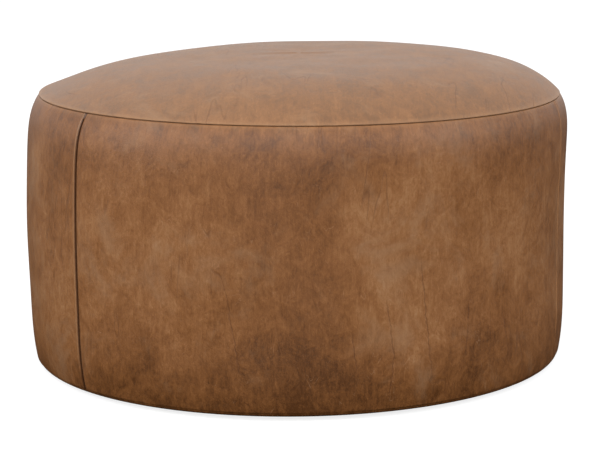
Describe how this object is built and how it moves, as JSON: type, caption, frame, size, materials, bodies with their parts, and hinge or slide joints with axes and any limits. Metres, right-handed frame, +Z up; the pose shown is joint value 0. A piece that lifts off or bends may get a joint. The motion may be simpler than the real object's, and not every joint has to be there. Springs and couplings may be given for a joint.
{
  "type": "leather pouf",
  "caption": "Round drum-shaped leather pouf with a domed top, a plain round seam, upright side seams and a zip-off cover over a foam core on low glides.",
  "frame": {"origin": "on the floor, at the middle of the ring of glides, under the middle of the round top", "axes": "+Z up through the middle of the top, -Y to the front where the widest view of the front panel is, +X to the right of someone facing the front"},
  "size_m": [0.7619, 0.7619, 0.43],
  "materials": {
    "leather": "satin",
    "canvas": "matte",
    "zip_tape": "matte",
    "zip_coil": "satin",
    "brass": "satin",
    "thread": "matte",
    "calico": "matte",
    "wadding": "matte",
    "soft_foam": "matte",
    "firm_foam": "matte",
    "plywood": "matte",
    "nylon": "satin",
    "screw_steel": "satin"
  },
  "bodies": {
    "pouf": {"top_panel": "leather", "side_panel_front": "leather", "side_panel_rear_right": "leather", "side_panel_rear_left": "leather", "base_cloth": "canvas", "zip_facing": "canvas", "zip_tape_outer": "zip_tape", "zip_tape_inner": "zip_tape", "zip_coil_outer": "zip_coil", "zip_coil_inner": "zip_coil", "zip_top_stops": "brass", "zip_bottom_stop": "brass", "base_eyelets": "brass", "top_seam_thread": "thread", "side_seam_threads": "thread", "hem_thread": "thread", "zip_thread": "thread", "liner_top": "calico", "liner_boxing": "calico", "liner_base": "calico", "wadding_top": "wadding", "wadding_side": "wadding", "crown_foam": "soft_foam", "side_foam": "soft_foam", "core_foam_upper": "firm_foam", "core_foam_lower": "firm_foam", "base_board": "plywood", "glides": "nylon", "glide_screws": "screw_steel"},
    "slider": {"zip_slider": "brass"},
    "pull": {"zip_pull": "brass"}
  },
  "joints": [
    {"name": "zip_run", "type": "hinge", "parent": "pouf", "child": "slider", "pos_m": [0, 0, 0], "axis": [0, 0, 1], "range_deg": [0, 176]},
    {"name": "pull_swing", "type": "hinge", "parent": "slider", "child": "pull", "pos_m": [0.33397, 0, 0.00485], "axis": [-1, 0, 0], "range_deg": [0, 180]}
  ]
}
